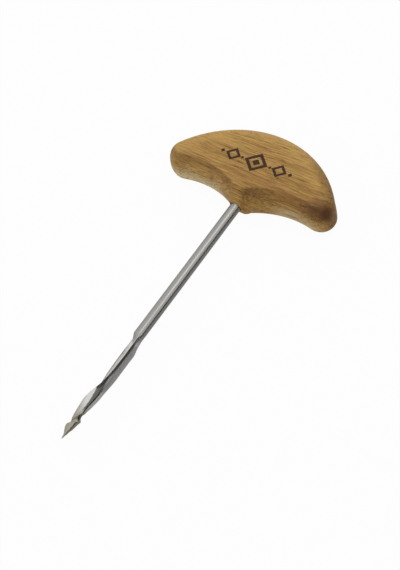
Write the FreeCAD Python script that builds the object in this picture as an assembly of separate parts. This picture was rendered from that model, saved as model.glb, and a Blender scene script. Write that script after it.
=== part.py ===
"""Gimlet: a crescent hardwood handle on a one-piece forged steel boring bit.

Working frame while the pieces are made: the mouth of the handle is the origin, the bit runs
along -Y, the handle lies along X and its flat faces look along +Z and -Z.  The finished pieces
are then moved so that the back face lies on Z = 0 and the box of the whole tool is centred.
"""
import FreeCAD, Part
import math
import os
from collections import namedtuple

Vector = FreeCAD.Vector

# ---- driving dimensions, mm and degrees ------------------------------------------------------
# handle
handle_length = 102.0          # tip to tip of the crescent
handle_height = 46.4           # mouth of the socket to the top of the crown
handle_thickness = 21.0        # the board that the handle is cut from
crown_radius = 60.0            # long outer arc
lobe_radius = 8.8              # rounded ends
scallop_radius = 51.7          # hollow under each wing, for the fingers
scallop_fall = 5.2             # full rounded underside: it has fallen back this far at a face
edge_radius = 5.8              # rounding of the crown
crease_radius = 1.8            # softened crease between a flat face and the underside
nose_width = 8.4               # keel between the two hollows, round the mouth
keel_setback = 1.4             # the keel has fallen back this much more than the hollows
nose_cove = 2.5                # hollow blend between the keel and a scallop
nose_edge = 1.5                # rounded sides of the keel
cove_angle = -27.0              # from the centre of that rounding to the cove's, above level
mouth_chamfer = 0.35           # broken edge of the socket

# bit, outside the handle
shank_diameter = 6.0
plain_length = 88.8            # round shank, from the mouth to the run-out of the channel
run_out_length = 5.1           # over which the shank opens into the channel
shell_length = 48.2            # open channel, run-out included
lead_length = 16.9             # screw point
shoulder_length = 1.5          # faint taper where the shank was drawn down for the channel
shoulder_drop = 0.06
channel_start_angle = 131.3    # where the channel looks at its upper end, from +X towards +Z
shell_twist = 150.9            # turn of the channel over its length, right-handed
twist_power = 4.8              # the turn starts slowly and gathers towards the point
screw_pitch = 11.1             # first turn of the screw point
pitch_gain = 0.69              # the pitch shrinks to this share at the very tip
screw_ease = 2.8               # length over which the twist of the shell becomes that of the screw

# bit, cross-sections
shell_half_width = 3.45        # from the axis to the outside of a lip
shell_belly = 4.28             # from the axis to the outside of the rounded back
lip_rise = 0.7                 # the lips stand this far beyond the axis
lip_thickness = 0.75
back_thickness = 1.35          # wall at the bottom of the channel
run_out_belly = 3.35           # rounded back where the channel has just opened
run_out_wall = 2.35            # wall there, the channel being still shallow
half_open_wall = 4.5           # and half-way along the run-out, where it has hardly begun
swell_half_width = 3.69        # where the shell has swung to the side, above the screw
swell_belly = 3.59
crest_radius = 2.92            # first crest of the screw point
second_crest_radius = 2.35
neck_root_radius = 1.9         # root where the shell becomes the screw
root_radius = 1.48             # root of the thread
last_crest_radius = 0.5
last_root_radius = 0.45
tip_radius = 0.12
last_crest_length = 1.6        # from there to the tip
land = 0.08                    # narrow flat left on an edge that runs out

# where those cross-sections lie: shares of the shell, then of the screw point
FULL_SHARE = 0.2               # the channel has its full form from here
SWING_SHARE = 0.5              # to here, where it starts to swing
SWELL_SHARE = 0.78
FIRST_CREST_SHARE = 0.13
SECOND_CREST_SHARE = 0.62

# bit, inside the handle
tang_depth = 31.0              # from the mouth to the end of the tang
spade_length = 12.0            # flattened end that stops the bit turning in the wood
spade_width = 7.6
spade_thickness = 3.2
fit_clearance = 0.05           # glue film between steel and wood, all round

# ---- values that follow from them ------------------------------------------------------------
half_thickness = handle_thickness / 2
shank_radius = shank_diameter / 2
shell_end = plain_length + shell_length
bit_reach = shell_end + lead_length
centre_shift = (bit_reach - handle_height) / 2
OUTLINE_ANGLES = (0, 18, 34, 48, 60, 70, 80, 90)     # round the crown's edge
ROUND = 0.5523                 # Bezier handle that gives a quarter circle
run_out_step = 1.7             # spacing of the cross-sections
shell_step = 4.2
turn_step = 30                 # and the most that the channel turns between two of them

# ---- handle ----------------------------------------------------------------------------------


def rounding(radius, height):
    """Half chord, at this height, of a quarter round that ends at a flat face."""
    past = max(abs(height) - (half_thickness - radius), 0)
    return math.sqrt(max(radius ** 2 - past ** 2, 0))


def crown_inset(height):
    """How far the crown has fallen back at this height across the board: a rounded edge."""
    return edge_radius - rounding(edge_radius, height)


def under_inset(fall, height):
    """The same for the underside: one full arc, with a small rounding at the flat face."""
    bulge = (half_thickness ** 2 + fall ** 2) / (2 * fall)
    level = half_thickness - crease_radius
    if abs(height) <= bulge * level / (bulge - crease_radius):
        return bulge - math.sqrt(bulge ** 2 - height ** 2)
    depth = math.sqrt((bulge - crease_radius) ** 2 - level ** 2)
    return bulge - depth - rounding(crease_radius, height)


def heights():
    """Heights of the outlines, closer together where the edges turn over to the flat face."""
    half = [half_thickness - edge_radius * (1 - math.sin(math.radians(angle)))
            for angle in OUTLINE_ANGLES]
    return [-height for height in reversed(half)] + [0] + half


def mirrored(point):
    return Vector(-point.x, point.y, point.z)


def toward(centre, target, distance):
    """Point at this distance from a centre, on the way to the target."""
    return centre + (target - centre).normalize() * distance


def meeting(first, first_radius, second, second_radius):
    """Right-hand crossing of two circles in one level."""
    apart = second - first
    along = (first_radius ** 2 - second_radius ** 2 + apart.Length ** 2) / (2 * apart.Length)
    across = math.sqrt(first_radius ** 2 - along ** 2)
    apart.normalize()
    return first + apart * along + Vector(-apart.y, apart.x, 0) * across


def arc(centre, radius, start, end):
    """Arc of under a half turn between the rays to two points."""
    first = toward(centre, start, radius)
    last = toward(centre, end, radius)
    return first, toward(centre, (first + last) * 0.5, radius), last


def crown_centre():
    return Vector(0, handle_height - crown_radius, 0)


def nose_corner(height):
    """Centre of the rounded side of the keel."""
    bottom = under_inset(scallop_fall + keel_setback, height)
    return Vector(nose_width / 2 - nose_edge, bottom + nose_edge, 0)


def scallop_centre():
    """Centre of the right-hand hollow, which touches the lobe and the keel's cove."""
    lobe_x = handle_length / 2 - lobe_radius
    lobe_y = crown_centre().y + math.sqrt((crown_radius - lobe_radius) ** 2 - lobe_x ** 2)
    lobe = Vector(lobe_x, lobe_y, 0)
    angle = math.radians(cove_angle)
    cove = nose_corner(0) + Vector(math.cos(angle), math.sin(angle), 0) * (nose_edge + nose_cove)
    return meeting(lobe, scallop_radius + lobe_radius, cove, scallop_radius - nose_cove)


def right_half(height):
    """Lobe, hollow, cove and nose corner at one height, each arc tangent to the next."""
    crown = crown_centre()
    hollow = scallop_centre()
    crown_back = crown_inset(height)
    under_back = under_inset(scallop_fall, height)
    crown_arc = crown_radius - crown_back
    hollow_arc = scallop_radius + under_back
    lobe_arc = lobe_radius - (crown_back + under_back) / 2
    lobe = meeting(crown, crown_arc - lobe_arc, hollow, hollow_arc + lobe_arc)
    outward = lobe + (lobe - crown)
    corner = nose_corner(height)
    cove = meeting(corner, nose_edge + nose_cove, hollow, hollow_arc - nose_cove)
    return [
        arc(lobe, lobe_arc, outward, hollow),
        arc(hollow, hollow_arc, lobe, cove),
        arc(cove, nose_cove, cove + (cove - hollow), corner),
        arc(corner, nose_edge, cove, Vector(corner.x, corner.y - nose_edge, 0)),
    ]


def outline(height):
    """Closed outline of the handle at one height across the board."""
    right = right_half(height)
    left = [tuple(mirrored(point) for point in reversed(piece)) for piece in reversed(right)]
    join = right[0][0]
    top = Vector(0, handle_height - crown_inset(height), 0)
    arcs = right + left + [(mirrored(join), top, join)]
    edges = [Part.Arc(*points).toShape() for points in arcs]
    edges.insert(len(right), Part.makeLine(right[-1][-1], left[0][0]))
    wire = Part.Wire(edges)
    wire.translate(Vector(0, 0, height))
    return wire


def largest(shape):
    return max(shape.Solids, key=lambda solid: solid.Volume)


def handle():
    """Outlines lofted across the board, with the socket for the tang."""
    body = Part.makeLoft([outline(height) for height in heights()], True, False)
    radius = shank_radius + fit_clearance
    chamfer = Part.makeCone(
        radius + mouth_chamfer, radius, mouth_chamfer, Vector(0, 0, 0), Vector(0, 1, 0))
    return largest(body.cut(tang(fit_clearance)).cut(chamfer))


# ---- bit -------------------------------------------------------------------------------------

# One cross-section of the forging, in the plane square to the axis.  "open" is the way the
# channel looks, "side" is the way of its leading lip.  The leading lip grows into the crest of
# the screw point and the channel into its root.
Section = namedtuple(
    "Section", "place lead_side lead_open tail_side tail_open back floor lip fullness")


def round_section(place, radius):
    return Section(place, radius, 0, radius, 0, radius, radius, land, ROUND)


def channel_section(place, half_width, belly, wall):
    return Section(place, half_width, lip_rise, half_width, lip_rise, belly, wall - belly,
                   lip_thickness, ROUND)


def thread_section(place, crest, root):
    """Leading lip at full height, trailing lip sunk towards the root behind it."""
    behind = (crest + root) / 2
    return Section(place, crest, 0, behind, 0, (crest + behind) / 2, root, land, land)


def sections():
    """Key sections from the round shank to the tip."""
    drawn = shank_radius - shoulder_drop
    half_open = channel_section(
        plain_length + run_out_length / 2, shank_radius, shank_radius, half_open_wall)
    return [
        round_section(plain_length - 2 * shoulder_length, drawn),
        round_section(plain_length, drawn),
        half_open._replace(lip=lip_thickness / 2),
        channel_section(
            plain_length + run_out_length, shank_radius, run_out_belly, run_out_wall),
        channel_section(along_shell(FULL_SHARE), shell_half_width, shell_belly, back_thickness),
        channel_section(along_shell(SWING_SHARE), shell_half_width, shell_belly, back_thickness),
        channel_section(along_shell(SWELL_SHARE), swell_half_width, swell_belly, back_thickness),
        thread_section(shell_end, crest_radius, neck_root_radius),
        thread_section(along_lead(FIRST_CREST_SHARE), crest_radius, root_radius),
        thread_section(along_lead(SECOND_CREST_SHARE), second_crest_radius, root_radius),
        thread_section(bit_reach - last_crest_length, last_crest_radius, last_root_radius),
        round_section(bit_reach, tip_radius),
    ]


def along_shell(share):
    return plain_length + shell_length * share


def along_lead(share):
    return shell_end + lead_length * share


def channel_angle(place):
    """Direction of the channel at this distance from the mouth, in degrees."""
    along = min(max((place - plain_length) / shell_length, 0), 1)
    angle = channel_start_angle + shell_twist * along ** twist_power
    beyond = max(place - shell_end, 0)
    start_rate = shell_twist * twist_power / shell_length
    screw_rate = 360 / screw_pitch
    ease = min(beyond, screw_ease)
    angle += start_rate * ease + (screw_rate - start_rate) * ease ** 2 / (2 * screw_ease)
    rest = beyond - ease
    gather = (1 / pitch_gain - 1) * rest ** 2 / (2 * (lead_length - screw_ease))
    return angle + screw_rate * (rest + gather)


def between(keys, place):
    """Section at any place, eased between its two key sections."""
    for start, end in zip(keys, keys[1:]):
        if place <= end.place:
            share = (place - start.place) / (end.place - start.place)
            share = share * share * (3 - 2 * share)
            return Section(place, *[a + (b - a) * share for a, b in zip(start[1:], end[1:])])
    return keys[-1]


def quarter(corner, fullness, apex):
    """Quarter round from a lip, leaving it along the open direction, to a level apex."""
    rise = apex[1] - corner[1]
    run = corner[0] - apex[0]
    first = (corner[0], corner[1] + fullness * rise)
    second = (apex[0] + ROUND * run, apex[1])
    curve = Part.BezierCurve()
    curve.setPoles([Vector(x, y, 0) for x, y in (corner, first, second, apex)])
    return curve


def section_wire(section):
    lead = (section.lead_side, section.lead_open)
    tail = (-section.tail_side, section.tail_open)
    lead_inner = (section.lead_side - section.lip, section.lead_open)
    tail_inner = (section.lip - section.tail_side, section.tail_open)
    back = (0, -section.back)
    floor = (0, section.floor)
    curves = [
        quarter(lead, ROUND, back),
        quarter(tail, ROUND, back),
        Part.LineSegment(Vector(*tail, 0), Vector(*tail_inner, 0)),
        quarter(tail_inner, ROUND, floor),
        quarter(lead_inner, section.fullness, floor),
        Part.LineSegment(Vector(*lead_inner, 0), Vector(*lead, 0)),
    ]
    wire = Part.Wire(Part.__sortEdges__([curve.toShape() for curve in curves]))
    wire.transformShape(section_frame(section.place))
    return wire


def section_frame(place):
    """Matrix from section coordinates (side, open) to the working frame."""
    angle = math.radians(channel_angle(place))
    return FreeCAD.Matrix(
        math.sin(angle), math.cos(angle), 0, 0,
        0, 0, -1, -place,
        -math.cos(angle), math.sin(angle), 0, 0,
        0, 0, 0, 1)


def stations():
    """Places of the cross-sections, closer together where the form or the twist is quick."""
    places = [plain_length - 2 * shoulder_length]
    while places[-1] < bit_reach - tip_radius * 4:
        here = places[-1]
        step = run_out_step if here < plain_length + run_out_length else shell_step
        turn = channel_angle(here + step) - channel_angle(here)
        places.append(here + min(step, step * turn_step / max(turn, 1e-6)))
    return places[:-1] + [bit_reach]


def forging():
    """Shell and screw point as one loft."""
    keys = sections()
    return Part.makeLoft([section_wire(between(keys, place)) for place in stations()], True, False)


def tang(gap):
    """Round shank inside the handle and its flattened end; the gap makes it the socket."""
    stem = tang_depth - spade_length
    rod = Part.makeCylinder(
        shank_radius + gap, stem + gap, Vector(0, 0, 0), Vector(0, 1, 0))
    blade = Part.makeBox(
        spade_width + 2 * gap, spade_length + 2 * gap, spade_thickness + 2 * gap,
        Vector(-spade_width / 2 - gap, stem - gap, -spade_thickness / 2 - gap))
    return rod.fuse(blade)


def shank():
    """Plain rod, tapered at its lower end into the forging."""
    length = plain_length - shoulder_length
    rod = Part.makeCylinder(shank_radius, length, Vector(0, 0, 0), Vector(0, -1, 0))
    shoulder = Part.makeCone(shank_radius, shank_radius - 2 * shoulder_drop, shoulder_length,
                             Vector(0, -length, 0), Vector(0, -1, 0))
    return rod.fuse(shoulder)


def bit():
    return largest(shank().fuse(tang(0)).fuse(forging()).removeSplitter())


# ---- assembly --------------------------------------------------------------------------------


def main():
    os.makedirs("parts", exist_ok=True)
    for name, make in (("handle", handle), ("bit", bit)):
        shape = make()
        shape.translate(Vector(0, centre_shift, half_thickness))
        shape.exportStep(os.path.join("parts", name + ".step"))
        print(name, "valid", shape.isValid(), "volume", round(shape.Volume, 1),
              "box", shape.BoundBox)


main()
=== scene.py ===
"""Looks of a gimlet: an oiled hardwood handle on a forged and polished steel boring bit.

The tool lies on its back face with the bit along -Y.  The materials are worked out in
millimetres from the position on the tool, so the grain runs through the wood in depth.
"""
import math
from functools import reduce

import bmesh
import bpy
from bpy.props import FloatProperty, FloatVectorProperty, PointerProperty
from mathutils import Matrix, Vector


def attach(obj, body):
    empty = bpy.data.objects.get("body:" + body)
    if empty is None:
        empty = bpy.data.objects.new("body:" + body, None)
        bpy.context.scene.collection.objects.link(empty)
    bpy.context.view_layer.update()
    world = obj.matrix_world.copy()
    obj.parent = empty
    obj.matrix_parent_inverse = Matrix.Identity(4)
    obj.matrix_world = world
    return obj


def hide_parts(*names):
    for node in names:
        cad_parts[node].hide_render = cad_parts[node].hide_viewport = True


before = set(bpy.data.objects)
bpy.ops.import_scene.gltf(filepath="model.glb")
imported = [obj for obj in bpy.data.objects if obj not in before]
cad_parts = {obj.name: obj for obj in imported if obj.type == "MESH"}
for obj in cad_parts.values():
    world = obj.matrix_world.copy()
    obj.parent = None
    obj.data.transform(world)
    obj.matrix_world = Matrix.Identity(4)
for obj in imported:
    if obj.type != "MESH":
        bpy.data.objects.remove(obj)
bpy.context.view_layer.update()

bl_info = {
    "name": "Gimlet",
    "version": (1, 0, 0),
    "blender": (4, 5, 0),
    "location": "3D View > Sidebar > Gimlet",
    "description": "Oiled hardwood handle, forged steel bit and a plain studio for them",
    "category": "Object",
}

MM = 1000.0                    # object coordinates are metres, the materials work in millimetres
MERGE_DISTANCE = 2e-6          # metres
NOISE_MIDDLE = 0.5

# ---- shader graphs -----------------------------------------------------------------------------


def both_ways(operation):
    """An operator and its reflected form, each as a Math node."""
    def forward(self, other):
        return self.sum(operation, self, other)

    def reflected(self, other):
        return self.sum(operation, other, self)

    return forward, reflected


class Wire:
    """An output socket that takes part in sums the way a number does."""

    def __init__(self, graph, socket):
        self.graph = graph
        self.socket = socket

    def sum(self, operation, *values):
        return self.graph.node("ShaderNodeMath", {"operation": operation}, dict(enumerate(values)))

    __add__, __radd__ = both_ways("ADD")
    __sub__, __rsub__ = both_ways("SUBTRACT")
    __mul__, __rmul__ = both_ways("MULTIPLY")
    __truediv__, __rtruediv__ = both_ways("DIVIDE")
    __pow__, __rpow__ = both_ways("POWER")

    def __neg__(self):
        return self * -1.0

    def __abs__(self):
        return self.sum("ABSOLUTE", self)

    def least(self, other):
        return self.sum("MINIMUM", self, other)

    def most(self, other):
        return self.sum("MAXIMUM", self, other)

    def fraction(self):
        return self.sum("FRACT", self)

    def root(self):
        return self.sum("SQRT", self)

    def cosine(self):
        return self.sum("COSINE", self)

    def sine(self):
        return self.sum("SINE", self)

    def fade(self, start, end):
        """0 at start, 1 at end, eased between them; start may be the larger."""
        values = {"Value": self, "From Min": start, "From Max": end}
        if start > end:
            values = {"Value": self, "From Min": end, "From Max": start,
                      "To Min": 1.0, "To Max": 0.0}
        settings = {"interpolation_type": "SMOOTHSTEP"}
        return self.graph.node("ShaderNodeMapRange", settings, values)

    def beside(self, output):
        """Another output of the same node."""
        return Wire(self.graph, self.socket.node.outputs[output])


class Graph:
    """A node tree that is filled from the top down."""

    def __init__(self, owner):
        owner.use_nodes = True
        self.tree = owner.node_tree
        self.tree.nodes.clear()

    def node(self, kind, settings=None, values=None, output=0):
        """Adds a node: its settings first, then a number, a colour or a wire for each input."""
        node = self.tree.nodes.new(kind)
        for name, setting in (settings or {}).items():
            setattr(node, name, setting)
        for key, value in (values or {}).items():
            if isinstance(value, Wire):
                self.tree.links.new(value.socket, node.inputs[key])
            else:
                node.inputs[key].default_value = value
        return Wire(self, node.outputs[output]) if node.outputs else None

    def split(self, vector):
        first = self.node("ShaderNodeSeparateXYZ", values={0: vector})
        return first, first.beside(1), first.beside(2)

    def place(self):
        """Position on the tool in millimetres, as x, y and z."""
        metres = self.node("ShaderNodeTexCoord", output="Object")
        return self.split(self.node("ShaderNodeVectorMath", {"operation": "SCALE"},
                                    {0: metres, "Scale": MM}))

    def facing(self):
        """Direction that the surface faces, as x, y and z."""
        return self.split(self.node("ShaderNodeNewGeometry", output="Normal"))

    def noise(self, place, pattern):
        """Cloudy noise between about 0.2 and 0.8."""
        stretch, detail, roughness = pattern
        scaled = dict(enumerate(part * rate for part, rate in zip(place, stretch)))
        vector = self.node("ShaderNodeCombineXYZ", values=scaled)
        values = {"Vector": vector, "Scale": 1.0, "Detail": detail, "Roughness": roughness}
        return self.node("ShaderNodeTexNoise", {"noise_dimensions": "3D"}, values, "Fac")

    def mix(self, share, first, second):
        """Colour between two colours."""
        settings = {"data_type": "RGBA", "clamp_factor": True}
        return self.node("ShaderNodeMix", settings, {0: share, 6: first, 7: second}, 2)

    def layers(self, base, table, masks, settings):
        """Lays colours over each other: for each, its setting and the share of each mask."""
        for name, shares in table:
            base = self.mix(total(masks, shares), base, colour(getattr(settings, name)))
        return base

    def bump(self, height, distance):
        return self.node("ShaderNodeBump", values={"Height": height, "Distance": distance})

    def finish(self, surface, kind="Material"):
        self.node("ShaderNodeOutput" + kind, values={"Surface": surface})


def total(masks, shares):
    """Sum of the named masks, each times its share."""
    first, *rest = [masks[name] * share for name, share in shares.items()]
    return sum(rest, first)


def squares(*sides):
    """Sum of the squares."""
    first, *rest = [side * side for side in sides]
    return sum(rest, first)


def along_angle(first, second, angle):
    """How far a point or a direction lies along an angle from the first axis to the second."""
    return first * angle.cosine() + second * angle.sine()


def colour(values):
    return (*values, 1.0)


def grey(level):
    return (level, level, level, 1.0)


# ---- settings ----------------------------------------------------------------------------------


class HandleSettings(bpy.types.PropertyGroup):
    """Wood, oil and burned ornament of the handle."""

    # also laid on the crown's rounded rim at the left as painted light
    light_wood_and_rim_light: FloatVectorProperty(
        name="Light wood", description="Colour of the late wood between the pores",
        subtype="COLOR", size=3, min=0.0, max=1.0, default=(0.640, 0.380, 0.100))
    dark_wood: FloatVectorProperty(
        name="Dark wood", description="Colour of the early wood",
        subtype="COLOR", size=3, min=0.0, max=1.0, default=(0.310, 0.142, 0.020))
    pore_wood: FloatVectorProperty(
        name="Pores", description="Colour in the open pores",
        subtype="COLOR", size=3, min=0.0, max=1.0, default=(0.120, 0.046, 0.007))
    # also laid on as painted shade under the right wing, along the left hollow's crease and on the
    # shaded rims
    heartwood_and_shade: FloatVectorProperty(
        name="Heartwood and shade", description="Colour of the darker streaks and of end grain",
        subtype="COLOR", size=3, min=0.0, max=1.0, default=(0.105, 0.036, 0.006))
    # painted light: the pale colour laid on the back of the hollows as light bounced up from the
    # floor
    bounce_lit_wood: FloatVectorProperty(
        name="Bounce light", description="Colour of the pale strip along the back",
        subtype="COLOR", size=3, min=0.0, max=1.0, default=(0.860, 0.680, 0.370))
    red_wood: FloatVectorProperty(
        name="Red wood", description="Colour of the redder band below the ornament",
        subtype="COLOR", size=3, min=0.0, max=1.0, default=(0.260, 0.085, 0.020))
    charred_wood: FloatVectorProperty(
        name="Charred wood", description="Colour of the burned ornament",
        subtype="COLOR", size=3, min=0.0, max=1.0, default=(0.045, 0.018, 0.009))
    ring_spacing: FloatProperty(
        name="Ring spacing", description="Width of one year's growth",
        unit="LENGTH", min=0.0005, max=0.02, default=0.0027)
    ornament_width: FloatProperty(
        name="Ornament width", description="Length of the burned row of lozenges",
        unit="LENGTH", min=0.0, max=0.06, default=0.045)
    ornament_height: FloatProperty(
        name="Ornament height", description="Height of the middle lozenge",
        unit="LENGTH", min=0.0, max=0.02, default=0.0130)
    sheen_roughness: FloatProperty(
        name="Oil roughness", description="Roughness of the oiled surface",
        subtype="FACTOR", min=0.0, max=1.0, default=0.46)


class BitSettings(bpy.types.PropertyGroup):
    """Steel of the bit."""

    steel: FloatVectorProperty(
        name="Steel", description="Colour of the polished steel",
        subtype="COLOR", size=3, min=0.0, max=1.0, default=(0.345, 0.338, 0.325))
    forged: FloatVectorProperty(
        name="Forged steel", description="Duller steel on the outside of the shell",
        subtype="COLOR", size=3, min=0.0, max=1.0, default=(0.560, 0.540, 0.530))
    tempered: FloatVectorProperty(
        name="Tempered steel", description="Straw tint left by the heat near the screw point",
        subtype="COLOR", size=3, min=0.0, max=1.0, default=(0.290, 0.255, 0.170))
    # also laid inside the channel as a painted highlight, nearly white and hardly metallic
    keen_steel_and_highlight: FloatVectorProperty(
        name="Keen steel and highlight", description="Bright steel of the inside of the channel",
        subtype="COLOR", size=3, min=0.0, max=1.0, default=(0.860, 0.850, 0.820))
    stained: FloatVectorProperty(
        name="Stained steel", description="Colour of the small stains in the polish",
        subtype="COLOR", size=3, min=0.0, max=1.0, default=(0.220, 0.210, 0.190))
    # painted dark reflection along the lips and down the flare, painted shade in the screw's roots
    dark_reflection_and_shade: FloatVectorProperty(
        name="Lip", description="Dark steel along the lips of the channel",
        subtype="COLOR", size=3, min=0.0, max=1.0, default=(0.050, 0.045, 0.042))
    polish_roughness: FloatProperty(
        name="Polish roughness", description="Roughness of the polished steel",
        subtype="FACTOR", min=0.0, max=1.0, default=0.27)


class StudioSettings(bpy.types.PropertyGroup):
    """Camera, floor and light."""

    azimuth: FloatProperty(
        name="Azimuth", description="Side that the camera looks from",
        subtype="ANGLE", unit="ROTATION", default=math.radians(50.8178))
    elevation: FloatProperty(
        name="Elevation", description="Height of the camera above the horizon",
        subtype="ANGLE", unit="ROTATION", default=math.radians(52.828))
    roll: FloatProperty(
        name="Roll", description="Turn of the picture",
        subtype="ANGLE", unit="ROTATION", default=math.radians(-20.3958))
    distance: FloatProperty(
        name="Distance", description="From the camera to the point that it looks at",
        unit="LENGTH", min=0.1, default=0.658126)
    aim: FloatVectorProperty(
        name="Aim", description="Point that the camera looks at",
        subtype="TRANSLATION", unit="LENGTH", size=3, default=(0.010887, 0.004202, 0.0105))
    focal_length: FloatProperty(
        name="Focal length", description="Focal length of the lens",
        unit="CAMERA", min=10.0, max=400.0, default=82.307)
    ambient: FloatProperty(
        name="Ambient light", description="Level of the even light from all round",
        min=0.0, max=2.0, default=0.5)
    softbox_power: FloatProperty(
        name="Softbox power", description="Power of the large lamp overhead",
        unit="POWER", min=0.0, max=100.0, default=8.0)


# ---- handle ------------------------------------------------------------------------------------

HANDLE_CREASE = math.radians(32.0)
FRONT_FACE = 21.0              # mm above the floor
CROWN_CENTRE = 40.15           # mm along Y, of the crown's arc
PITH = (-150.0, -120.0)        # y and z of the heart of the tree, well away from the board
PORE_DEPTH = 0.00007           # metres
OIL_GLOSS = 0.28               # specular level of the oil

# noises: features per mm along X, Y and Z, then octaves and roughness
WANDER = ((0.016, 0.022, 0.022), 2.0, 0.5)
UNEVEN_YEARS = ((0.0, 0.0, 0.30), 2.0, 0.5)
LONG_LINES = ((0.016, 1.3, 1.3), 3.0, 0.7)
DASHES = ((0.09, 2.0, 2.0), 2.0, 0.6)
FLECKS = ((0.35, 3.6, 3.6), 2.0, 0.6)
BANDS = ((0.010, 0.12, 0.12), 2.0, 0.5)
CLOUD = ((0.05, 0.13, 0.13), 3.0, 0.5)
BURN_WOBBLE = ((1.3, 1.3, 1.3), 2.0, 0.5)
FAINT_BURN = ((0.25, 1.6, 1.0), 3.0, 0.6)

# mm that the fibres wander along Y and Z, and the slant of the board to them
WANDER_SIDE, WANDER_DEEP, SLANT = 7.0, 4.0, 0.012
UNEVEN_REACH = 4.0             # mm that the rings are pushed in and out
EARLY_FADES, EARLY_STARTS = (0.50, 0.0), (0.0, 0.06)       # early wood, as shares of a year
LATE_PORES, EARLY_PORES = 0.6, 0.4     # strength of the pores in late wood, and what early adds

# levels of a noise between which its marks appear
LINE_LEVELS, DASH_LEVELS, FLECK_LEVELS = (0.42, 0.60), (0.50, 0.62), (0.50, 0.68)
BAND_LEVELS, FAINT_LEVELS = (0.3, 0.7), (0.60, 0.78)

# edges of the wood's tones and painted light and shade in mm on the tool: where the tone is
# absent, where it is full, and for a ragged edge how far the cloud pushes it about
RED_NEAR, RED_FAR, RED_LEFT = (63.5, 68.0, 6.0), (74.0, 70.0, 6.0), (-18.0, 4.0, 30.0)
HEART_SHADE_LEFT, HEART_SHADE_BACK = (1.0, 6.0, 8.0), (10.5, 18.0, 12.0)
PALE_LEFT, PALE_RIGHT = (15.0, 24.0, 12.0), (38.0, 30.0, 12.0)
CREASE_BACK, CREASE_MIDDLE, CREASE_RIGHT = (17.0, 19.5, 3.0), (-4.0, 9.0), (16.0, 0.0)
BOUNCE_FRONT, BOUNCE_ENDS = (17.5, 8.0, 8.0), (50.0, 41.0)
BOUNCE_RIGHT, BOUNCE_LEFT, BOUNCE_RICH = (14.0, 28.0, 12.0), (-4.0, -18.0, 12.0), (-8.0, -14.0)
CROWN_RIM, CROWN_RIGHT = (47.0, 54.0), (46.0, 20.0)
SHADED_RIM, SHADED_RIGHT, SHADED_LEFT = (53.0, 57.5), (12.0, 34.0), (-46.0, -50.0)

# the dark wood by the right lobe: middle and reach along X, Y and Z, and its edge in reaches
KNOT = ((46.0, 9.0), (66.5, 5.5), (17.5, 6.5))
KNOT_EDGE = (1.6, 0.0, 2.0)

# how far the surface faces the bit, or an end of the handle
LOW_FACING, CREASE_FACING, END_FACING = (0.10, 0.75), (0.02, 0.30), (0.30, 1.0)
PALE_SHARE = 0.55              # of the heartwood and painted shade, missing in the right hollow's middle

# layers of colour on the light wood, from the bottom up: the setting that holds the colour, and
# the share of each mask
WOOD_LAYERS = (
    ("dark_wood", {"early": 0.18, "bands": 0.16, "lines": 0.58}),
    # painted light on the crown's rim at the left
    ("light_wood_and_rim_light", {"lit_rim": 0.85}),
    # painted light bounced up from the floor, on the back of the hollows
    ("bounce_lit_wood", {"painted_bounce": 0.75, "rich_painted_bounce": 0.2}),
    ("red_wood", {"red": 0.30}),
    # painted shade: part of the heartwood's share, and all the shares of shaded and crease
    ("heartwood_and_shade", {"heart_and_shade": 0.46, "end_grain": 0.15, "shaded": 0.34, "crease": 0.42,
                    "knot": 0.56}),
    # painted shade: the pores darken more under the right wing and wherever the surface faces down
    ("pore_wood", {"dashes": 0.66, "flecks": 0.45, "heart_and_shade_flecks": 0.80, "shaded_flecks": 0.10}),
    ("charred_wood", {"char": 1.0}),
)
WOOD_ROUGHNESS = {"dashes": 0.16, "flecks": 0.06, "char": 0.22}            # on top of the oil's
WOOD_HOLLOWS = {"dashes": 0.6, "flecks": 0.3, "lines": 0.15, "char": 2.5}  # in pore depths

# the burned ornament: middle, half width and half height, as shares of the row's, and half the
# width of the stroke as a share of the lozenge, where 0.5 fills it
LOZENGES = (
    (0.0, 0.32, 1.0, 0.18), (0.0, 0.11, 0.34, 0.5),
    (-0.64, 0.21, 0.66, 0.22), (0.64, 0.21, 0.66, 0.22),
    (-0.385, 0.045, 0.15, 0.5), (0.385, 0.045, 0.15, 0.5),
    (-0.94, 0.06, 0.20, 0.5), (0.94, 0.06, 0.20, 0.5),
)
ORNAMENT_LEVEL = 77.5          # mm along Y, middle of the flat face
STROKE_EDGE = 0.05             # softness of a stroke, as a share of the lozenge
WOBBLE_SHARE = 0.10            # how far its outline wobbles
FAINT_SHARE = 0.45             # how much of the char is missing where the burn is faint
BURN_REACH = (-1.2, -0.3)      # mm from the front face, where the burn ends and where it is full


def smooth_copy(node, name, crease):
    """A merged copy of a solid's mesh, shaded smooth between edges sharper than the crease."""
    shape = bmesh.new()
    shape.from_mesh(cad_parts[node].data)
    bmesh.ops.remove_doubles(shape, verts=shape.verts, dist=MERGE_DISTANCE)
    corners = [vertex.co.copy() for vertex in shape.verts]
    faces = [[vertex.index for vertex in face.verts] for face in shape.faces]
    shape.free()
    mesh = bpy.data.meshes.new(name)
    mesh.from_pydata(corners, [], faces)
    mesh.polygons.foreach_set("use_smooth", [True] * len(mesh.polygons))
    mesh.set_sharp_from_angle(angle=crease)
    piece = bpy.data.objects.new(name, mesh)
    bpy.context.collection.objects.link(piece)
    return piece


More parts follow.
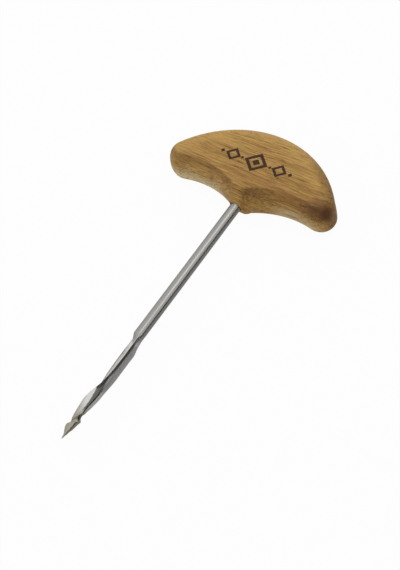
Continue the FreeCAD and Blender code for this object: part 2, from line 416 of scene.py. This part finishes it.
def ornament(graph, place, settings):
    """Share of charring: a row of three plain lozenges with a seed between and beside them."""
    x, y, z = place
    half = settings.ornament_width * MM / 2
    tall = settings.ornament_height * MM / 2
    level = abs(y - ORNAMENT_LEVEL)
    wobble = (graph.noise(place, BURN_WOBBLE) - NOISE_MIDDLE) * WOBBLE_SHARE
    strokes = []
    for centre, width, height, band in LOZENGES:
        # the reach from the middle of a lozenge is 1 on its outline
        reach = abs(x - centre * half) / (width * half) + level / (height * tall) + wobble
        strokes.append(abs(reach - (1.0 - band)).fade(band + STROKE_EDGE, band - STROKE_EDGE))
    front = (z - FRONT_FACE).fade(*BURN_REACH)
    faint = graph.noise(place, FAINT_BURN).fade(*FAINT_LEVELS)
    return reduce(Wire.most, strokes) * front * (1.0 - faint * FAINT_SHARE)


def grain(graph, place, spacing):
    """Masks of the fibres' own marks, then the way across the fibres and the cloud."""
    x, y, z = place

    # the fibres wander a little on their way along the board
    wander = graph.noise(place, WANDER) - NOISE_MIDDLE
    side = y + wander * WANDER_SIDE + x * SLANT
    deep = z + wander * WANDER_DEEP
    fibres = (x, side, deep)

    # growth rings of uneven width round a pith far from the board
    radius = squares(side - PITH[0], deep - PITH[1]).root()
    uneven = graph.noise((0.0, 0.0, radius), UNEVEN_YEARS) - NOISE_MIDDLE
    year = ((radius + uneven * UNEVEN_REACH) / spacing).fraction()
    early = year.fade(*EARLY_FADES) * year.fade(*EARLY_STARTS)

    # long lines, then open pores and fine flecks, all stretched along the fibres
    pores = LATE_PORES + early * EARLY_PORES
    masks = {
        "early": early,
        "lines": graph.noise(fibres, LONG_LINES).fade(*LINE_LEVELS),
        "dashes": graph.noise(fibres, DASHES).fade(*DASH_LEVELS) * pores,
        "flecks": graph.noise(fibres, FLECKS).fade(*FLECK_LEVELS) * pores,
        "bands": graph.noise(fibres, BANDS).fade(*BAND_LEVELS),
    }
    return masks, side, graph.noise(fibres, CLOUD) - NOISE_MIDDLE


def tones(graph, place, side, cloud):
    """Masks of where the wood is darker, redder or paler, and of painted light and shade."""
    x, y, z = place
    nx, ny, _ = graph.facing()
    rim = squares(x, y - CROWN_CENTRE).root()

    def edge(value, start, end, ragged):
        return (value + cloud * ragged).fade(start, end)

    # heartwood and painted shade under the right wing where it faces down, with a paler middle,
    # and heartwood by the right lobe
    low = (-ny).fade(*LOW_FACING)
    pale = edge(x, *PALE_LEFT) * edge(x, *PALE_RIGHT)
    heart_and_shade = low * edge(x, *HEART_SHADE_LEFT) * edge(z, *HEART_SHADE_BACK) * (1.0 - pale * PALE_SHARE)
    knot = squares(*((part - middle) / reach for part, (middle, reach) in zip(place, KNOT)))

    # painted shade along the crease where the left hollow meets the front face
    crease = ((-ny).fade(*CREASE_FACING) * edge(z, *CREASE_BACK)
              * abs(x).fade(*CREASE_MIDDLE) * x.fade(*CREASE_RIGHT))

    # painted light bounced up from the floor, on the back of both hollows where they face down
    painted_bounce = (low * edge(z, *BOUNCE_FRONT) * abs(x).fade(*BOUNCE_ENDS)
           * (edge(x, *BOUNCE_RIGHT) + edge(x, *BOUNCE_LEFT)))

    return {
        "red": edge(side, *RED_NEAR) * edge(side, *RED_FAR) * edge(x, *RED_LEFT),
        "low": low,
        "heart_and_shade": heart_and_shade,
        "knot": edge(knot, *KNOT_EDGE),
        "crease": crease,
        "painted_bounce": painted_bounce,
        "rich_painted_bounce": painted_bounce * x.fade(*BOUNCE_RICH),
        # painted light on the crown's rounded rim at the left; painted shade on its rim at the
        # right and at the left end
        "lit_rim": rim.fade(*CROWN_RIM) * x.fade(*CROWN_RIGHT),
        "shaded": (rim.fade(*SHADED_RIM) * x.fade(*SHADED_RIGHT)).most(x.fade(*SHADED_LEFT)),
        "end_grain": abs(nx).fade(*END_FACING),
    }


def wood_material(settings):
    """Open-pored golden hardwood with its grain along X, oiled and polished."""
    material = bpy.data.materials.new("oiled_hardwood")
    graph = Graph(material)
    place = graph.place()
    masks, side, cloud = grain(graph, place, settings.ring_spacing * MM)
    masks.update(tones(graph, place, side, cloud))
    masks["heart_and_shade_flecks"] = masks["flecks"] * masks["heart_and_shade"]
    masks["shaded_flecks"] = masks["flecks"] * masks["low"]
    masks["char"] = ornament(graph, place, settings)
    graph.finish(graph.node("ShaderNodeBsdfPrincipled", values={
        "Base Color": graph.layers(colour(settings.light_wood_and_rim_light), WOOD_LAYERS, masks, settings),
        "Roughness": settings.sheen_roughness + total(masks, WOOD_ROUGHNESS),
        "Normal": graph.bump(-total(masks, WOOD_HOLLOWS), PORE_DEPTH),
        "Specular IOR Level": OIL_GLOSS}))
    return material


class GIMLET_OT_handle(bpy.types.Operator):
    """Make the visible handle: a smooth copy of the solid one in oiled hardwood"""

    bl_idname = "gimlet.make_handle"
    bl_label = "Handle"

    def execute(self, context):
        piece = smooth_copy("handle", "oiled_handle", HANDLE_CREASE)
        piece.data.materials.append(wood_material(context.scene.gimlet_handle))
        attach(piece, "root")
        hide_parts("handle")
        return {"FINISHED"}


# ---- bit ---------------------------------------------------------------------------------------

BIT_CREASE = math.radians(38.0)
AXIS_HEIGHT = 10.5             # mm above the floor

# places along the bit, in mm along Y
CHANNEL_TOP = -35.0            # where the channel begins
FLARE = -72.0                  # where the shell starts to widen and to turn
SCREW_TOP = -83.3              # where the screw point begins
TIP = -100.2

# the channel turns as it runs down the shell
SHELL_LENGTH = 48.2
CHANNEL_START = math.radians(131.3)    # where the channel looks at its top, from +X towards +Z
SHELL_TURN = math.radians(150.9)
TURN_POWER = 4.8

# painted dark reflection down the flare: the side that it is on, and how far it moves round for
# each mm
STRIPE_SIDE, STRIPE_TURN = math.radians(53.0), math.radians(0.7)
STRIPE_FACING = (0.945, 0.972)

# noises, as for the wood
POLISH_LINES = ((9.0, 0.25, 9.0), 3.0, 0.7)
GRIT = ((2.2, 2.2, 2.2), 4.0, 0.65)
SMEARS = ((0.5, 0.09, 0.5), 2.0, 0.5)
STAIN_LEVELS = (0.5, 0.75)

# edges along Y in mm from the channel's top
SHELL_EDGE, HIGHLIGHT_EDGE = (0.0, -6.0), (-2.0, -8.0)
# edges along Y in mm from the flare
LIP_END, DULL_END, KEEN_START, STRIPE_START = (0.0, 6.0), (-2.0, 8.0), (5.0, -1.0), (10.0, 5.0)
# edges along Y in mm from the top of the screw point
HIGHLIGHT_END, STRIPE_END, ROOT_START, WARM_START = (4.0, 12.0), (-2.0, 2.0), (0.0, -2.0), (5.0, -5.0)
# edges in mm from the bit's axis, and for a lip also from the plane of the channel's mouth
HIGHLIGHT_RADIUS, LIP_RADIUS, LIP_MOUTH = (3.1, 2.8), (2.5, 3.1), (-0.9, -0.1)

WARM_RAGGED = 8.0              # mm that the smears push the straw tint's edge about
SCREW_RADIUS = 2.9             # mm, of the screw point at its top
TIP_SHARE = 0.04               # of it that is left at the tip
ROOT_REACH = (0.92, 0.66)      # shares of the radius between which the screw's root is dark

# layers of colour on the polished steel, as for the wood
STEEL_LAYERS = (
    ("forged", {"dull": 0.8}),
    ("keen_steel_and_highlight", {"keen": 0.6}),
    ("tempered", {"warm": 0.8}),
    ("stained", {"stains": 0.25}),
    # painted highlight: the inside of the channel made nearly white
    ("keen_steel_and_highlight", {"channel_highlight": 0.90}),
    # painted dark reflection along the lips and down the flare, painted shade in the screw's roots
    ("dark_reflection_and_shade", {"lip_reflection": 0.90, "root": 0.75, "reflected_stripe": 0.85}),
)
STEEL_ROUGHNESS = {"smears": 0.16, "grit": 0.16, "dull": 0.20, "keen": -0.13}
HIGHLIGHT_METAL = 0.1            # how metallic the channel's painted highlight is, beside the polished steel
SCRATCH_DEPTH = 0.000007       # metres
LINE_DEPTH, GRIT_DEPTH, WORN_GRIT = 0.5, 0.5, 0.3          # in scratch depths


def shell_masks(place, y_channel, y_flare, y_screw):
    """Masks of the shell, its channel's painted highlight, and painted dark lips and screw root.
    """
    x, y, z = place
    up = z - AXIS_HEIGHT
    from_axis = squares(x, up).root()
    in_shell = y_channel.fade(*SHELL_EDGE)
    along = (y_channel / -SHELL_LENGTH).most(0.0).least(1.0)
    angle = CHANNEL_START + SHELL_TURN * along ** TURN_POWER
    opening = along_angle(x, up, angle)
    taper = ((y - TIP) / (SCREW_TOP - TIP)).most(TIP_SHARE).least(1.0) * SCREW_RADIUS
    return {
        # painted highlight inside the channel
        "channel_highlight": (y_channel.fade(*HIGHLIGHT_EDGE) * from_axis.fade(*HIGHLIGHT_RADIUS)
                       * y_screw.fade(*HIGHLIGHT_END)),
        # painted dark reflection along the lips of the channel
        "lip_reflection": (opening.fade(*LIP_MOUTH) * from_axis.fade(*LIP_RADIUS)
                * in_shell * y_flare.fade(*LIP_END)),
        # painted shade in the root of the screw's thread
        "root": (from_axis / taper).fade(*ROOT_REACH) * y_screw.fade(*ROOT_START),
        "dull": in_shell * y_flare.fade(*DULL_END),
    }


def reflected_stripe_mask(graph, y_flare, y_screw):
    """A painted dark reflection that runs down the flare, on the side that faces one way."""
    nx, _, nz = graph.facing()
    facing = along_angle(nx, nz, STRIPE_SIDE + y_flare * STRIPE_TURN)
    return facing.fade(*STRIPE_FACING) * y_flare.fade(*STRIPE_START) * y_screw.fade(*STRIPE_END)


def steel_material(settings):
    """Bright steel with fine polishing lines along the bit and a straw tint near the point."""
    material = bpy.data.materials.new("polished_steel")
    graph = Graph(material)
    place = graph.place()
    y = place[1]
    y_channel, y_flare, y_screw = y - CHANNEL_TOP, y - FLARE, y - SCREW_TOP
    lines = graph.noise(place, POLISH_LINES)
    grit = graph.noise(place, GRIT)
    smears = graph.noise(place, SMEARS) - NOISE_MIDDLE
    masks = shell_masks(place, y_channel, y_flare, y_screw)
    masks.update({
        "warm": (y_screw + smears * WARM_RAGGED).fade(*WARM_START),
        "keen": y_flare.fade(*KEEN_START),
        "reflected_stripe": reflected_stripe_mask(graph, y_flare, y_screw),
        "stains": grit.fade(*STAIN_LEVELS),
        "smears": smears,
        "grit": grit - NOISE_MIDDLE,
    })
    relief = lines * LINE_DEPTH + grit * (GRIT_DEPTH - masks["dull"] * WORN_GRIT)
    graph.finish(graph.node("ShaderNodeBsdfPrincipled", values={
        "Base Color": graph.layers(colour(settings.steel), STEEL_LAYERS, masks, settings),
        "Metallic": 1.0 - masks["channel_highlight"] * (1.0 - HIGHLIGHT_METAL),
        "Roughness": settings.polish_roughness + total(masks, STEEL_ROUGHNESS),
        "Normal": graph.bump(relief, SCRATCH_DEPTH)}))
    return material


class GIMLET_OT_bit(bpy.types.Operator):
    """Make the visible bit: a smooth copy of the solid one in polished steel"""

    bl_idname = "gimlet.make_bit"
    bl_label = "Bit"

    def execute(self, context):
        piece = smooth_copy("bit", "polished_bit", BIT_CREASE)
        piece.data.materials.append(steel_material(context.scene.gimlet_bit))
        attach(piece, "root")
        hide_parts("bit")
        return {"FINISHED"}


# ---- studio, in metres -------------------------------------------------------------------------

NEAREST = 0.01                 # distance from which the camera shows things
FLOOR_REACH = 3.0              # from the tool to each edge of the floor
FLOOR_LEVEL = -0.0002          # just under the tool's back face
FLOOR_PAINT = 0.9
FLOOR_GLOW = 0.96              # share of plain white that the camera sees on the floor

# cards that only mirrored rays meet: piece, material, level, and two opposite corners
CARDS = (
    ("flag", "black_cloth", 0.03, (0.35, -0.4, 0.0), (0.35, 0.7, 0.16)),
    ("grey_card", "grey_cloth", 0.60, (-0.2, -0.4, 0.0001), (0.004, 0.4, 0.0001)),
    ("dark_card", "dark_cloth", 0.46, (0.004, -0.4, 0.0001), (0.4, 0.4, 0.0001)),
    ("dim_card", "dim_cloth", 0.78, (-0.7, -0.5, 0.0), (-0.7, 0.9, 0.45)),
    ("bright_card", "bright_cloth", 2.2, (0.0, 0.15, 0.9), (0.36, 0.75, 0.9)),
)
OTHER_RAYS = ("camera", "diffuse", "shadow", "transmission")

SOFTBOX_WAY = (-0.25, 0.25, 0.9)       # from the tool to the lamp
SOFTBOX_DISTANCE = 1.3
SOFTBOX_WIDTH = 2.4


def add_camera(settings):
    """A camera at the photograph's angle, turned about its own line of sight."""
    level = math.cos(settings.elevation)
    right = Vector((math.cos(settings.azimuth), math.sin(settings.azimuth), 0.0))
    back = Vector((math.sin(settings.azimuth) * level, -math.cos(settings.azimuth) * level,
                   math.sin(settings.elevation)))
    above = back.cross(right)
    turned = right * math.cos(settings.roll) + above * math.sin(settings.roll)
    camera = bpy.data.cameras.new("camera")
    camera.lens = settings.focal_length
    camera.clip_start = NEAREST
    holder = bpy.data.objects.new("camera", camera)
    bpy.context.collection.objects.link(holder)
    pose = Matrix((turned, back.cross(turned), back)).transposed().to_4x4()
    pose.translation = Vector(settings.aim) + back * settings.distance
    holder.matrix_world = pose
    bpy.context.scene.camera = holder


def card(name, start, end, material):
    """A flat card of the studio between two opposite corners, level or upright across X."""
    (x0, y0, z0), (x1, y1, z1) = start, end
    second, last = ((x1, y0, z0), (x0, y1, z1)) if z0 == z1 else ((x0, y1, z0), (x0, y0, z1))
    corners = [start, second, end, last]
    mesh = bpy.data.meshes.new(name)
    mesh.from_pydata(corners, [], [range(len(corners))])
    mesh.materials.append(material)
    piece = bpy.data.objects.new(name, mesh)
    bpy.context.collection.objects.link(piece)
    return piece


def seen_directly(graph):
    """1 for rays from the camera and for mirrored and transmitted rays, 0 for the others."""
    camera = graph.node("ShaderNodeLightPath", output="Is Camera Ray")
    return camera.most(camera.beside("Is Glossy Ray")).most(camera.beside("Is Transmission Ray"))


def floor_material():
    """White floor that keeps a faint shadow."""
    material = bpy.data.materials.new("white_floor")
    graph = Graph(material)
    paint = graph.node("ShaderNodeBsdfDiffuse", values={"Color": grey(FLOOR_PAINT)})
    glow = graph.node("ShaderNodeEmission", values={"Color": grey(1.0)})
    share = seen_directly(graph) * FLOOR_GLOW
    graph.finish(graph.node("ShaderNodeMixShader", values={0: share, 1: paint, 2: glow}))
    return material


def card_material(name, level):
    """A card's cloth, at an even grey that doesn't depend on the light."""
    material = bpy.data.materials.new(name)
    graph = Graph(material)
    graph.finish(graph.node("ShaderNodeEmission", values={"Color": grey(level)}))
    return material


def light_world(ambient):
    """Even light from all round, and white where the world itself is seen."""
    world = bpy.data.worlds.new("studio")
    bpy.context.scene.world = world
    graph = Graph(world)
    even, bright = (graph.node("ShaderNodeBackground",
                               values={"Color": grey(1.0), "Strength": strength})
                    for strength in (ambient, 1.0))
    shown = graph.node("ShaderNodeMixShader", values={0: seen_directly(graph), 1: even, 2: bright})
    graph.finish(shown, "World")


def add_softbox(power):
    """A large round lamp overhead that nothing mirrors."""
    lamp = bpy.data.lights.new("softbox", "AREA")
    lamp.shape = "DISK"
    lamp.size = SOFTBOX_WIDTH
    lamp.energy = power
    holder = bpy.data.objects.new("softbox", lamp)
    bpy.context.collection.objects.link(holder)
    way = Vector(SOFTBOX_WAY).normalized()
    holder.matrix_world = (Matrix.Translation(way * SOFTBOX_DISTANCE)
                           @ way.to_track_quat("Z", "Y").to_matrix().to_4x4())
    holder.visible_glossy = False


class GIMLET_OT_studio(bpy.types.Operator):
    """Make the floor, the lights and the camera"""

    bl_idname = "gimlet.make_studio"
    bl_label = "Studio"

    def execute(self, context):
        settings = context.scene.gimlet_studio
        add_camera(settings)
        light_world(settings.ambient)
        card("floor", (-FLOOR_REACH, -FLOOR_REACH, FLOOR_LEVEL),
             (FLOOR_REACH, FLOOR_REACH, FLOOR_LEVEL), floor_material())
        for name, cloth, level, start, end in CARDS:
            piece = card(name, start, end, card_material(cloth, level))
            for rays in OTHER_RAYS:
                setattr(piece, "visible_" + rays, False)
        add_softbox(settings.softbox_power)
        return {"FINISHED"}


# ---- panel and registration --------------------------------------------------------------------


class GIMLET_PT_sidebar(bpy.types.Panel):
    """Buttons that make the pieces, each above the settings that it reads"""

    bl_label = "Gimlet"
    bl_idname = "GIMLET_PT_sidebar"
    bl_space_type = "VIEW_3D"
    bl_region_type = "UI"
    bl_category = "Gimlet"

    def draw(self, context):
        for name, _, operator in SECTIONS:
            settings = getattr(context.scene, name)
            box = self.layout.box()
            box.operator(operator.bl_idname)
            for key in settings.__annotations__:
                box.prop(settings, key)


# name of the settings on the scene, their group, and the operator that reads them
SECTIONS = (
    ("gimlet_handle", HandleSettings, GIMLET_OT_handle),
    ("gimlet_bit", BitSettings, GIMLET_OT_bit),
    ("gimlet_studio", StudioSettings, GIMLET_OT_studio),
)
CLASSES = (*(part for _, *parts in SECTIONS for part in parts), GIMLET_PT_sidebar)


def register():
    for item in CLASSES:
        bpy.utils.register_class(item)
    for name, group, _ in SECTIONS:
        setattr(bpy.types.Scene, name, PointerProperty(type=group))


def unregister():
    for name, *_ in SECTIONS:
        delattr(bpy.types.Scene, name)
    for item in reversed(CLASSES):
        bpy.utils.unregister_class(item)


def main():
    bpy.context.scene.view_settings.view_transform = "Standard"
    register()
    bpy.ops.gimlet.make_handle()
    bpy.ops.gimlet.make_bit()
    bpy.ops.gimlet.make_studio()


if __name__ == "__main__":
    main()
